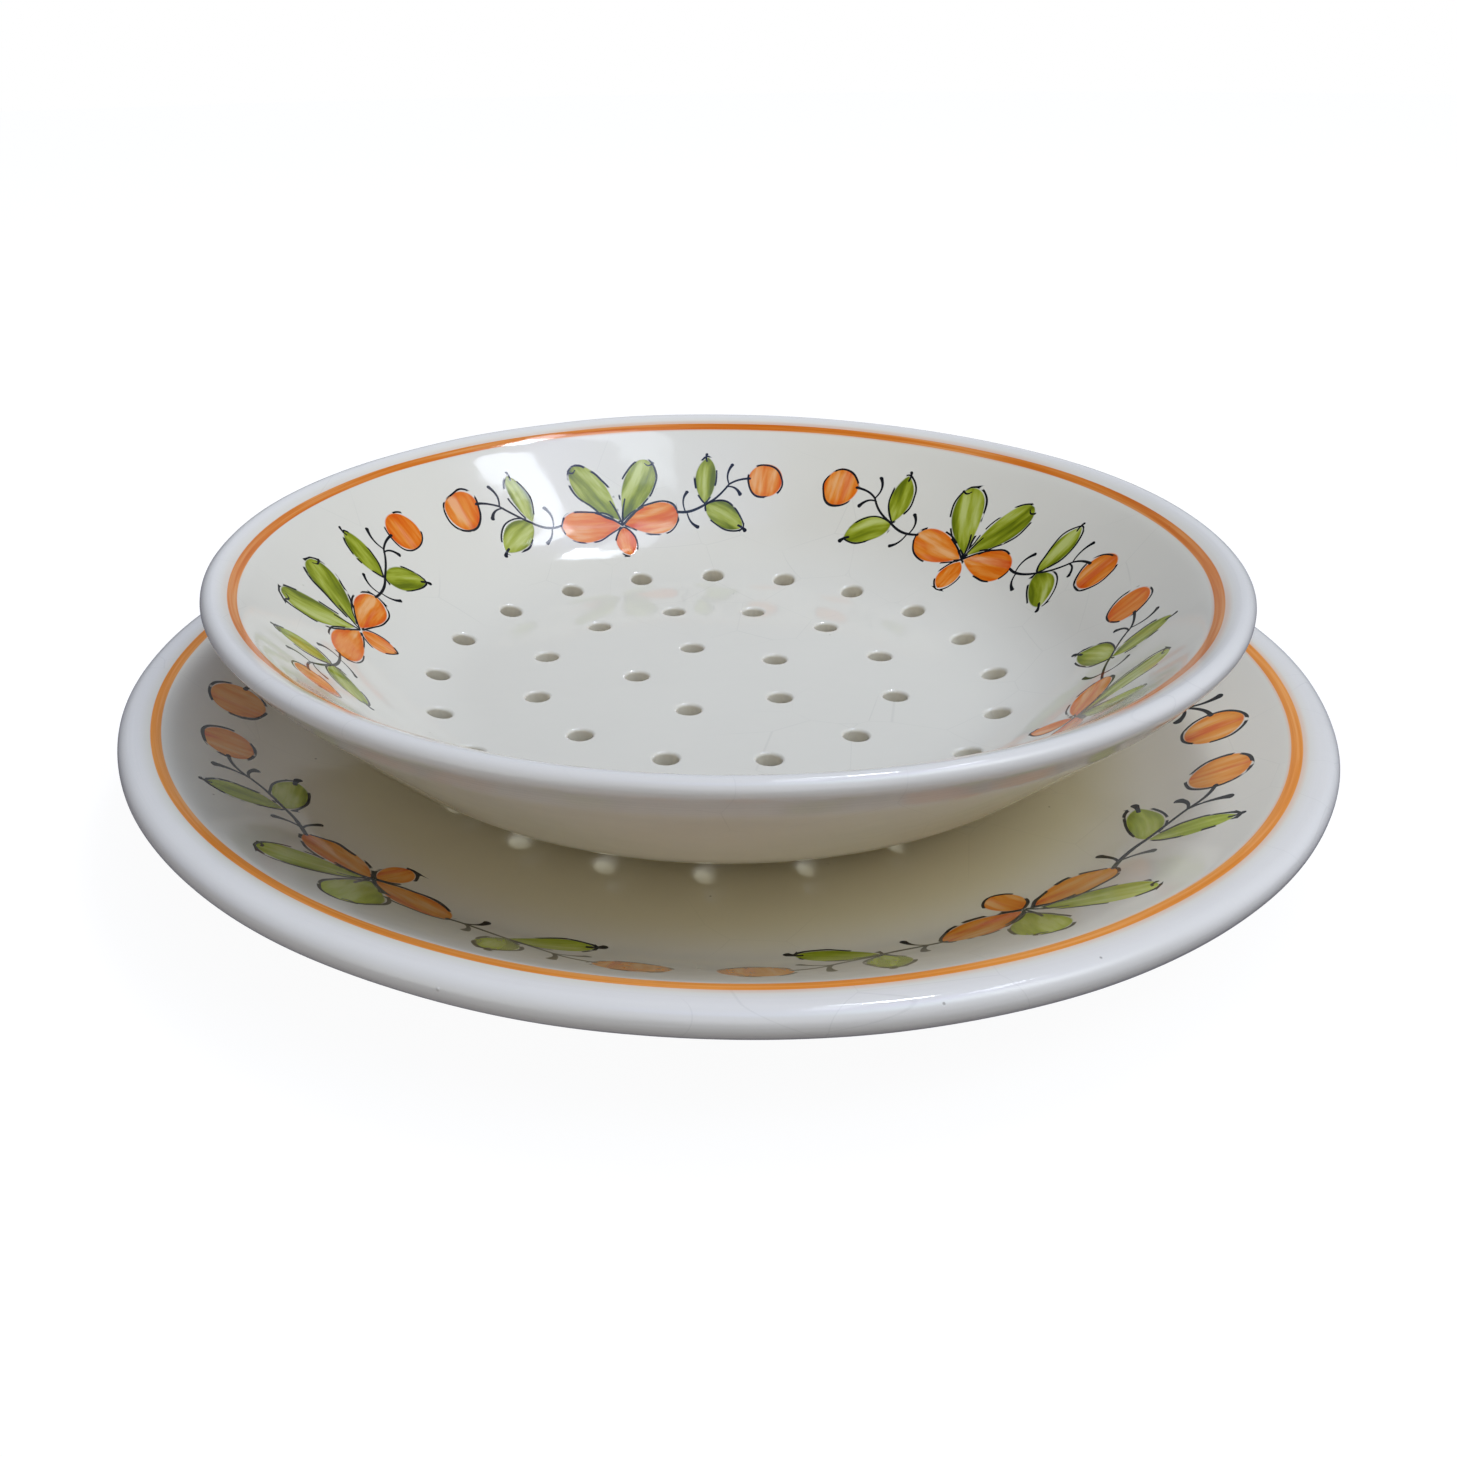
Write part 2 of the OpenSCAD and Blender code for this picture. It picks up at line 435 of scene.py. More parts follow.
# %% [markdown]
# ## The two pieces
# The plate is one turned line. The bowl is sewn together from its shell, its foot ring and three
# pierced sheets. Three shallow notches in the foot ring let the water out, so more vertices are
# spent there.

# %% Turn the plate
bm = bmesh.new()
first, last = turned(bm, plate_line[1:-1], even_turns)
capped(bm, first, plate_line[0].y)
capped(bm, last, plate_line[-1].y)
wandered(bm, low_r=80, high_r=135, amount=0.5, seed=3.7)
plate_piece = finished(bm, "painted_plate", "plate", "plate_glaze", "plate")

# %% Turn and pierce the bowl
notch_turns = [math.radians(30 + 120 * i) for i in range(3)]
notch_r = 2.2
notch_step, fan = math.radians(0.3), 12
extra_turns = [a + notch_step * i for a in notch_turns for i in range(-fan, fan + 1)]
spaced = [a for a in even_turns if all(abs(a - n) > (fan + 1) * notch_step for n in notch_turns)]
bowl_turns = sorted(spaced + extra_turns)

bm = bmesh.new()
shell_in, shell_out = turned(bm, bowl_shell_line, bowl_turns)
foot_rim_out, foot_rim_in = turned(bm, foot_line, bowl_turns)
foot_gap = 2.2
top_sheet = pierced_sheet(bm, top_height, 0, pierced_r, bowl_turns)
outer_sheet = pierced_sheet(bm, under_height, foot_out + foot_gap, pierced_r, bowl_turns)
inner_sheet = pierced_sheet(bm, under_height, 0, foot_in - foot_gap, bowl_turns)
sew(bm, top_sheet["out"], shell_in)
sew(bm, shell_out, outer_sheet["out"])
sew(bm, outer_sheet["in"], foot_rim_out)
sew(bm, foot_rim_in, inner_sheet["out"])
for hole in holes:
    under_rim = (outer_sheet if hole in outer_sheet else inner_sheet)[hole]
    rings = [[bm.verts.new(p) for p in ring] for ring in hole.column()]
    for ring, other in zip([top_sheet[hole], *rings], [*rings, under_rim]):
        sew(bm, ring, other)
for vert in bm.verts:
    r = math.hypot(vert.co.x, vert.co.y)
    if foot_in - 1 < r < foot_out + 1 and vert.co.z < foot_height + notch_r:
        for turn in notch_turns:
            off = abs(r * math.sin(math.atan2(vert.co.y, vert.co.x) - turn))
            ahead = vert.co.x * math.cos(turn) + vert.co.y * math.sin(turn) > 0
            if ahead and off < notch_r:
                vert.co.z = max(vert.co.z, foot_height + math.sqrt(notch_r**2 - off**2))
wandered(bm, low_r=76, high_r=114, amount=0.45, seed=8.1)
bowl_piece = finished(bm, "pierced_bowl", "bowl", "bowl_glaze", "colander_bowl")

# %% [markdown]
# ## Glaze recipes
# The painting is worked out by the material itself, from where a point lies on the piece, so it
# stays sharp close up. An image would do it too, but it would blur near by and need unwrapping.
# The class below lets the many small sums be written as sums, and makes each one a Math node.


# %% Numbers that run through a recipe
class Wire:
    """One value in a recipe: a number, a vector or a colour. Arithmetic with it adds Math nodes."""

    def __init__(self, recipe, socket):
        self.recipe = recipe
        self.socket = socket

    def out(self, name):
        """Another output of the same node."""
        return Wire(self.recipe, self.socket.node.outputs[name])

    def __add__(self, other):
        return self.recipe.maths("ADD", self, other)

    def __mul__(self, other):
        return self.recipe.maths("MULTIPLY", self, other)

    def __sub__(self, other):
        return self.recipe.maths("SUBTRACT", self, other)

    def __rsub__(self, other):
        return self.recipe.maths("SUBTRACT", other, self)

    def __truediv__(self, other):
        return self.recipe.maths("DIVIDE", self, other)

    def __rtruediv__(self, other):
        return self.recipe.maths("DIVIDE", other, self)

    def __pow__(self, other):
        return self.recipe.maths("POWER", self, other)

    def __abs__(self):
        return self.recipe.maths("ABSOLUTE", self)


class Recipe:
    """A material, or the room's light, while it is being mixed."""

    def __init__(self, owner):
        owner.use_nodes = True
        self.tree = owner.node_tree
        self.tree.nodes.clear()

    def node(self, kind, settings=None, values=None, output=0):
        made = self.tree.nodes.new(kind)
        for name, setting in (settings or {}).items():
            setattr(made, name, setting)
        for name, value in (values or {}).items():
            if isinstance(value, Wire):
                self.tree.links.new(value.socket, made.inputs[name])
            else:
                made.inputs[name].default_value = value
        return Wire(self, made.outputs[output]) if made.outputs else made

    def maths(self, operation, *values):
        return self.node("ShaderNodeMath", {"operation": operation}, dict(enumerate(values)))

    def soft_step(self, value, low, high):
        """0 before low and 1 after high, with a soft change between; low may be the larger one."""
        ends = {"Value": value, "From Min": low, "From Max": high}
        return self.node("ShaderNodeMapRange", {"interpolation_type": "SMOOTHSTEP"}, ends)

    def mixed(self, share, first, second):
        """A colour between two others."""
        return self.node("ShaderNodeMix", {"data_type": "RGBA"}, {0: share, 6: first, 7: second}, 2)

    def vector(self, x, y, z):
        return self.node("ShaderNodeCombineXYZ", {}, {"X": x, "Y": y, "Z": z})

    def split(self, vector):
        """The three numbers of a vector or a colour."""
        x = self.node("ShaderNodeSeparateXYZ", {}, {0: vector})
        return x, x.out("Y"), x.out("Z")

    def moved(self, operation, vector, other):
        """A vector with another added to it or multiplied by it."""
        return self.node("ShaderNodeVectorMath", {"operation": operation}, {0: vector, 1: other})

    def noise(self, place, scale, detail=1.0):
        values = {"Vector": place, "Scale": scale, "Detail": detail}
        return self.node("ShaderNodeTexNoise", {}, values)

    def ramp(self, value, stops):
        made = self.node("ShaderNodeValToRGB", {}, {"Fac": value})
        ramp = made.socket.node.color_ramp
        ramp.elements[0].position, ramp.elements[0].color = stops[0]
        ramp.elements[1].position, ramp.elements[1].color = stops[-1]
        for position, colour in stops[1:-1]:
            ramp.elements.new(position).color = colour
        return made


def shade(red, green, blue):
    """A colour as a screen shows it, 0 to 255, turned into the linear colour that Blender mixes."""
    linear = []
    for shown in (red / 255, green / 255, blue / 255):
        linear.append(shown / 12.92 if shown < 0.0404 else ((shown + 0.055) / 1.055) ** 2.4)
    return (*linear, 1.0)


# %% [markdown]
# ## Brushwork
# Every petal and leaf is a loaded brush pressed down and lifted, so it has a base, a tip, a width
# and an easy swell. Stems and tendrils are single strokes of a thin ink brush that start fine and
# end in a drop. Both are written as the distance of a point from the stroke, which keeps their
# edges clean at any size. The pen is half the width of the broken ink line that is drawn round
# each patch of colour. Strokes are written for a usual pen, and grow or shrink with the real one.


# %% Petals, strokes and round berries
usual_pen = 0.26


class Painter:
    """Lays strokes one over another and remembers where there is colour and where there is ink."""

    def __init__(self, recipe, x, y, pen, gap, broken):
        self.recipe = recipe
        self.x, self.y = x, y
        self.pen, self.gap, self.broken = pen, gap, broken
        self.green, self.orange, self.ink, self.deep = 0.0, 0.0, 0.0, 0.0
        self.hairs = None

    def along_line(self, start, end):
        """How far along a line a point lies, 0 to 1, and how far to its left in mm."""
        length = math.dist(start, end)
        ux, uy = (end[0] - start[0]) / length, (end[1] - start[1]) / length
        maths = self.recipe.maths
        rest = maths("MULTIPLY_ADD", self.y, uy / length, -(start[0] * ux + start[1] * uy) / length)
        along = maths("MULTIPLY_ADD", self.x, ux / length, rest)
        rest = maths("MULTIPLY_ADD", self.y, ux, start[0] * uy - start[1] * ux)
        return length, along, maths("MULTIPLY_ADD", self.x, -uy, rest)

    def laid(self, hue, depth, along, across, seed):
        """Adds a patch of colour and the broken ink line round it."""
        recipe = self.recipe
        cover = recipe.soft_step(depth, -0.1, 0.35)
        setattr(self, hue, recipe.maths("MAXIMUM", getattr(self, hue), cover))
        self.deep = recipe.maths("MAXIMUM", self.deep, depth)
        hairs = recipe.vector(along, across, seed)
        if self.hairs is None:
            self.hairs = hairs
        else:
            values = {0: cover, 4: self.hairs, 5: hairs}
            self.hairs = recipe.node("ShaderNodeMix", {"data_type": "VECTOR"}, values, 1)
        line = recipe.soft_step(abs(depth + self.gap), self.pen + 0.13, self.pen) * self.broken
        self.ink = recipe.maths("MAXIMUM", self.ink, line)

    def petal(self, hue, base, tip, width, ends, seed, curl=0.0):
        """ends says how pointed the base and the tip are: 1 is sharp, a half is round."""
        recipe, half = self.recipe, width / 2
        length, along, across = self.along_line(base, tip)
        a, b = ends
        swell = half / ((a / (a + b)) ** a * (b / (a + b)) ** b)
        # Kept just off 0 and 1, where the steepness of a sharp tip would divide by nothing.
        inside = recipe.node("ShaderNodeClamp", {}, {"Value": along, "Min": 0.004, "Max": 0.996})
        left = 1 - inside
        if curl:
            across = across - inside * left * (4 * curl)
        reach = inside**a * left**b * swell
        steep = reach * (a / inside - b / left) / length
        fall = recipe.maths("SQRT", recipe.maths("MULTIPLY_ADD", steep, steep, 1.0))
        depth = (reach - abs(across)) / fall - abs(along - inside) * length
        self.laid(hue, depth, along * length, across, seed)

    def berry(self, middle, wide, tall, seed):
        maths = self.recipe.maths
        px = maths("MULTIPLY_ADD", self.x, 2 / wide, -2 * middle[0] / wide)
        py = maths("MULTIPLY_ADD", self.y, 2 / tall, -2 * middle[1] / tall)
        out = maths("SQRT", maths("MULTIPLY_ADD", px, px, py * py))
        size = (wide + tall) / 4
        self.laid("orange", maths("MULTIPLY_ADD", out, -size, size), py * size, px * size, seed)

    def stroke(self, start, end, bow, thin, thick):
        """A thin line of ink, bowed to its left by so many mm, that swells towards its end."""
        recipe = self.recipe
        length, along, across = self.along_line(start, end)
        inside = recipe.node("ShaderNodeClamp", {}, {"Value": along})
        bowed = across - inside * (1 - inside) * (4 * bow)
        past = (along - inside) * length
        away = recipe.maths("SQRT", recipe.maths("MULTIPLY_ADD", bowed, bowed, past * past))
        swell = inside * inside * inside * (thick - thin) / 2 + thin / 2
        line = recipe.soft_step(away - swell * (self.pen / usual_pen), 0.12, 0.0)
        self.ink = recipe.maths("MAXIMUM", self.ink, line)


# %% [markdown]
# ## The border
# It is an old kind of pottery border: a five-petalled flower with leaves and a berry on either
# side. One half is painted with the distance from the flower's middle line, so both halves appear
# at once. A slow noise bends each sprig in its own way, so no two look the same.

# %% One half of a sprig on the bowl, and one on the plate
# Millimetres from the middle of the flower: x along the rim, y towards it.
bowl_sprig = {
    "petals": [
        ("green", (0.6, 1.0), (10.6, 19.8), 9.2, (0.95, 0.52), 1.0, -0.8),
        ("orange", (0.6, -0.4), (18.6, 1.8), 10.2, (0.9, 0.55), 2.0, -0.5),
        ("orange", (0.0, -1.2), (-0.6, -12.9), 7.8, (0.7, 0.62), 3.0, 0.0),
        ("green", (27.8, 4.3), (28.8, 19.6), 6.7, (0.8, 0.75), 4.0, 0.0),
        ("green", (28.0, 3.7), (40.8, -2.6), 8.2, (0.62, 0.7), 5.0, 0.4),
    ],
    "berry": ((46.7, 12.6), 10.4, 11.6),
    "strokes": [
        ((18.4, 2.2), (28.0, 4.0), -1.0, 0.8, 0.8),
        ((21.0, 2.3), (22.2, 8.0), 0.9, 0.5, 1.3),
        ((21.6, 2.0), (25.2, -2.8), -0.8, 0.5, 1.4),
        ((27.8, 4.0), (36.0, 10.6), -0.7, 0.7, 0.6),
        ((36.0, 10.6), (42.0, 13.0), 0.4, 0.6, 0.9),
        ((36.0, 10.6), (36.2, 17.0), 0.9, 0.5, 1.3),
        ((35.2, 9.8), (39.4, 7.6), 0.9, 0.5, 1.5),
        ((28.4, 18.2), (28.4, 20.6), 0.2, 0.5, 0.9),
        ((39.4, -2.0), (41.6, -3.6), 0.2, 0.8, 1.5),
        ((-0.4, -12.0), (-1.2, -14.0), 0.0, 0.9, 1.5),
        ((10.0, 18.6), (12.0, 18.2), -0.6, 0.4, 0.9),
        ((0.1, -0.4), (7.4, 4.2), 0.3, 0.55, 0.4),
        ((0.1, -0.2), (2.4, 7.0), 0.2, 0.55, 0.4),
    ],
}
plate_sprig = {
    "petals": [
        ("green", (1.4, 1.6), (12.6, 20.2), 11.2, (0.9, 0.55), 1.0, -0.6),
        ("orange", (1.0, -0.2), (23.8, 2.8), 9.8, (0.85, 0.6), 2.0, -0.6),
        ("orange", (0.0, -1.0), (-0.4, -11.0), 9.6, (0.7, 0.55), 3.0, 0.0),
        ("green", (37.0, 4.2), (41.8, 20.0), 7.9, (0.8, 0.75), 4.0, -0.3),
        ("green", (37.4, 3.2), (53.4, -2.6), 8.6, (0.65, 0.65), 5.0, 0.3),
    ],
    "berry": ((63.4, 12.9), 12.6, 13.2),
    "strokes": [
        ((23.4, 2.9), (37.0, 3.6), -0.9, 0.8, 0.8),
        ((27.0, 2.2), (30.8, 7.4), -0.8, 0.5, 1.5),
        ((26.6, 2.4), (29.4, -2.6), 0.9, 0.5, 1.5),
        ((37.0, 3.6), (49.4, 9.2), -0.7, 0.7, 0.6),
        ((49.4, 9.2), (57.4, 12.8), 0.7, 0.6, 0.9),
        ((49.0, 9.0), (51.0, 16.4), -0.8, 0.5, 1.5),
        ((49.2, 9.0), (54.2, 6.2), 0.8, 0.5, 1.6),
        ((41.4, 18.8), (42.2, 20.8), 0.2, 0.5, 1.0),
        ((52.0, -2.2), (54.6, -3.4), 0.2, 0.8, 1.6),
        ((12.4, 18.8), (14.2, 18.2), -0.5, 0.5, 1.0),
        ((0.1, -0.2), (9.0, 3.6), 0.5, 0.55, 0.4),
        ((0.1, 0.0), (3.0, 7.2), 0.3, 0.55, 0.4),
    ],
}
print("strokes on half a sprig:", len(bowl_sprig["strokes"]), "and", len(plate_sprig["strokes"]))

# %% [markdown]
# ## Colours
# The glaze is an ivory white. Its rolled rims are painted a little whiter as painted light, and
# its outside and underside whiter still as painted bounce light. In the plate's well it is painted
# warmer and darker, partly pooled glaze and partly painted shade under the bowl. A paint has a run
# of shades, from where it lies thick to where the brush ran dry.

# %% Colours of the glaze and the paints
glaze_colour = shade(226, 218, 198)
clay_colour = shade(196, 178, 150)
# Pooled glaze and painted shade in the plate's well under the bowl.
pooled_and_shaded_colour = shade(214, 203, 168)
# Painted light: the rolled rims are painted whiter than the glaze.
painted_rim_light = shade(230, 223, 210)
# Painted bounce light: the outside and underside are painted whiter than the glaze.
painted_outside_light = shade(240, 232, 215)
ink_colour = shade(20, 22, 24)
craze_colour = shade(120, 112, 96)
pit_colour = shade(96, 84, 66)
leaf_stops = (0.0, 0.35, 0.62, 1.0)
petal_stops = (0.0, 0.36, 0.66, 1.0)
stripe_stops = (0.3, 0.5, 0.7)


def run(stops, *colours):
    """Shades of one paint, from thick to thin, and how thin the paint is where each stands."""
    return [(stop, shade(*colour)) for stop, colour in zip(stops, colours, strict=True)]


bowl_paints = {
    "leaf": run(leaf_stops, (98, 108, 14), (134, 142, 24), (162, 168, 56), (190, 194, 108)),
    "orange": run(petal_stops, (218, 88, 4), (224, 114, 20), (230, 140, 54), (236, 172, 108)),
    "red": run(petal_stops, (214, 78, 16), (220, 106, 44), (228, 132, 70), (236, 166, 112)),
    "stripe": run(stripe_stops, (206, 104, 24), (216, 124, 46), (226, 152, 84)),
}
plate_paints = {
    "leaf": run(leaf_stops, (134, 144, 14), (156, 168, 28), (174, 184, 52), (196, 202, 100)),
    "orange": run(petal_stops, (220, 112, 12), (230, 138, 34), (235, 156, 62), (240, 178, 106)),
    "red": run(petal_stops, (210, 80, 12), (224, 110, 34), (232, 142, 66), (238, 176, 112)),
    "stripe": run(stripe_stops, (222, 126, 32), (232, 142, 52), (240, 162, 82)),
}
print("paints of the bowl:", ", ".join(bowl_paints))

# %% [markdown]
# ## Where a point lies on a piece
# The painting follows the rim, so a point is described by how far it is from the axis and in which
# direction. Object coordinates give its place in metres. A few sums make millimetres and an angle
# of it, so scales of noise are per millimetre: 0.05 gives waves of about 20 mm.


# %% Place, radius and direction
class Spot:
    """A point of the glaze, in millimetres, with its distance from the axis and its direction."""

    def __init__(self, recipe):
        metres = recipe.node("ShaderNodeTexCoord", output="Object")
        to_mm = {0: metres, "Scale": 1 / MM}
        self.place = recipe.node("ShaderNodeVectorMath", {"operation": "SCALE"}, to_mm)
        self.x, self.y, self.z = recipe.split(self.place)
        self.r = recipe.maths("SQRT", recipe.maths("MULTIPLY_ADD", self.x, self.x, self.y * self.y))
        self.turn = recipe.maths("ARCTAN2", self.y, self.x)


# %% [markdown]
# ## Five sprigs round the rim
# The painter divides the rim by eye, so the sprigs stand about 72 degrees apart and drift to
# either side. Each point finds its nearest sprig, and is then measured along the rim and up the
# wall from its flower. Two noises make the hand unsure: a slow one bends the drawing, and a
# quicker one lets outlines stray.

# %% Find the nearest sprig
sprig_step = 360 / 5


def nearest_sprig(recipe, spot, layout, slope):
    """The number of the sprig, and how far along the rim and up the wall its flower is."""
    maths = recipe.maths
    mean, slow, slow_turn, quick, quick_turn = layout["drift"]
    drift = maths("COSINE", spot.turn - math.radians(slow_turn)) * (slow / sprig_step)
    drift = drift + maths("COSINE", spot.turn * 2 - math.radians(quick_turn)) * (quick / sprig_step)
    steps = spot.turn * (math.degrees(1) / sprig_step) - drift
    steps = steps - (layout["first"] + mean) / sprig_step
    number = maths("ROUND", steps)
    along = (number - steps) * (math.radians(sprig_step) * layout["r"] * layout["stretch"])
    up = (spot.r - layout["r"]) * (1 / math.cos(slope)) + layout["lift"]
    return number, along, up


# %% Draw it with an unsure hand
lean_to_side = 0.03
bend_along, bend_up = 3.0, 3.4
line_stray, line_shift = 2.8, -1.25
ink_dry, ink_wet = 0.42, 0.47


def drawn_sprig(recipe, spot, along, up, pen, sprig):
    """The painter after all strokes of a sprig, and the two noises that moved the hand."""
    maths = recipe.maths
    bend = recipe.split(recipe.noise(spot.place, 0.05).out("Color"))
    side = maths("MULTIPLY_ADD", along, lean_to_side, abs(along))
    side = maths("MULTIPLY_ADD", bend[0], bend_along, side - bend_along / 2)
    up = maths("MULTIPLY_ADD", bend[1], bend_up, up - bend_up / 2)
    stray = recipe.noise(spot.place, 0.1)
    gap = maths("MULTIPLY_ADD", stray, line_stray, line_shift)
    broken = recipe.soft_step(recipe.noise(spot.place, 0.19), ink_dry, ink_wet)

    painter = Painter(recipe, side, up, pen, gap, broken)
    for petal in sprig["petals"]:
        painter.petal(*petal)
    painter.berry(*sprig["berry"], 6.0)
    for stroke in sprig["strokes"]:
        painter.stroke(*stroke)
    return painter, bend[2], stray


# %% [markdown]
# ## Brush streaks
# Hairs of the brush leave streaks along each petal, with thick and thin patches. The paint is
# thinner in the middle and gathers at the edge, where the brush leaves it. The noise for them is
# stretched along the stroke. Every petal of every sprig reads another part of it, so no two have
# the same streaks. Some petals lean to red, because the painter used two pots of orange.


# %% How thick the paint lies
hair_stretch = (0.12, 0.8, 9.0)
sprig_seed, side_seed = 7.3, 3.1
streak_strength, blotch_strength = 1.25, 1.9
edge_thin, middle_thin = 0.36, 0.6


def brush_load(recipe, painter, number, along, bend):
    """How thin the paint is, 0 to 1, and how much of it comes from the redder pot."""
    hairs = recipe.moved("MULTIPLY", painter.hairs, hair_stretch)
    hairs = recipe.moved("ADD", hairs, bend)
    seed = number * sprig_seed + recipe.maths("SIGN", along) * side_seed
    hairs = recipe.moved("ADD", hairs, seed)
    streaks = recipe.noise(hairs, 1.0, 3.0)
    blotches = recipe.noise(hairs, 0.35)
    _, hue, _ = recipe.split(blotches.out("Color"))
    middle = recipe.soft_step(painter.deep, 0.2, 2.4)
    thin = (streaks - 0.5) * streak_strength + (blotches - 0.5) * blotch_strength
    thin = thin + middle * (middle_thin - edge_thin) + edge_thin
    return thin, recipe.soft_step(hue, 0.53, 0.66)


# %% [markdown]
# ## The stripe
# It is drawn with the piece turning on a wheel and the brush held still, so it only wavers slowly.
# On part of the way round the brush leaves a faint second edge, on both sides of the full line.


# %% A stripe with a feathered edge
stripe_waver, faint_load = 0.8, 0.36


def wheel_stripe(recipe, spot, stripe):
    """Where the stripe covers the glaze, and how its paint changes along it."""
    inner, outer, feather = stripe
    soft_step = recipe.soft_step
    waver = recipe.noise(spot.place, 0.012) * stripe_waver - stripe_waver / 2
    edge = spot.r + waver
    full = soft_step(edge, inner - 0.1, inner + 0.1) * soft_step(edge, outer + 0.1, outer - 0.1)
    faint = soft_step(edge, inner - 0.6, inner) * soft_step(edge, feather + 0.9, feather - 0.5)
    faint = faint * soft_step(waver, -0.12, 0.1) * faint_load
    wheel = recipe.vector(spot.x / 40, spot.y / 40, spot.r * 1.3)
    return recipe.maths("MAXIMUM", full, faint), recipe.noise(wheel, 1.0, 3.0)


# %% [markdown]
# ## Flaws of the glaze
# Old tableware shows fine craze lines, a few pinholes, and beads where a bubble froze in the
# glaze. Cells of a Voronoi texture give all three: their edges are cracks, and a few of their
# middles are spots.


# %% Craze lines, beads and pinholes
def glaze_flaws(recipe, spot, stray):
    soft_step = recipe.soft_step
    cells = {"Vector": spot.place, "Scale": 0.042}
    crack = recipe.node("ShaderNodeTexVoronoi", {"feature": "DISTANCE_TO_EDGE"}, cells)
    crack = crack * recipe.maths("MULTIPLY_ADD", stray, 0.02, 1.0)
    where = soft_step(recipe.noise(spot.place, 0.022), 0.5, 0.62)
    craze = soft_step(crack, 0.006, 0.001) * where * 0.09
    middle = recipe.node("ShaderNodeTexVoronoi", {}, {"Vector": spot.place, "Scale": 0.11})
    chance, other_chance, _ = recipe.split(middle.out("Color"))
    beads = soft_step(middle, 0.05, 0.0) * soft_step(other_chance, 0.9, 0.91)
    pits = soft_step(middle, 0.042, 0.02) * soft_step(chance, 0.86, 0.87) * 0.55
    return craze, beads, pits


# %% [markdown]
# ## The whole glaze
# Colours are laid in the order of the real work: glaze, leaves, petals, the stripe, and ink last.
# The foot is wiped clean before firing, so bare clay shows there and is rough. The height that
# drives the bump holds the glaze's slow flow, the paint's thickness and the rings of the wheel.


# %% Ground colour
cloud_shade = 0.955
rim_blend, pool_and_shade_blend = 3, 8


def ground(recipe, spot, stripe, pool_and_shade_r, upper):
    """The glaze before the border, with painted light and shade, and how far out on the rim a point
    is.
    """
    clouded = (*[c * cloud_shade for c in glaze_colour[:3]], 1.0)
    colour = recipe.mixed(recipe.noise(spot.place, 0.03, 2.0), glaze_colour, clouded)
    rim = recipe.soft_step(spot.r, stripe[1], stripe[1] + rim_blend)
    # Painted bounce light: the outside and underside are painted whiter than the glaze.
    colour = recipe.mixed(upper, painted_outside_light, colour)
    # Painted light: the rolled rim is painted whiter than the glaze.
    colour = recipe.mixed(rim, colour, painted_rim_light)
    # Painted shade: the plate's well is painted warmer and darker, partly pooled glaze and partly
    # the bowl's shade.
    if pool_and_shade_r:
        deep = recipe.soft_step(spot.r, pool_and_shade_r + pool_and_shade_blend, pool_and_shade_r - pool_and_shade_blend) * upper
        colour = recipe.mixed(deep, colour, pooled_and_shaded_colour)
    return colour, rim


# %% Mix a painted glaze
# Heights of the bump are in millimetres.
flow_height, ripple_height, paint_height = 0.9, 0.12, 0.03
ring_height, grain_height, bead_height, pit_depth = 0.045, 0.018, 0.16, 0.05
glaze_rough, clay_rough = 0.07, 0.77


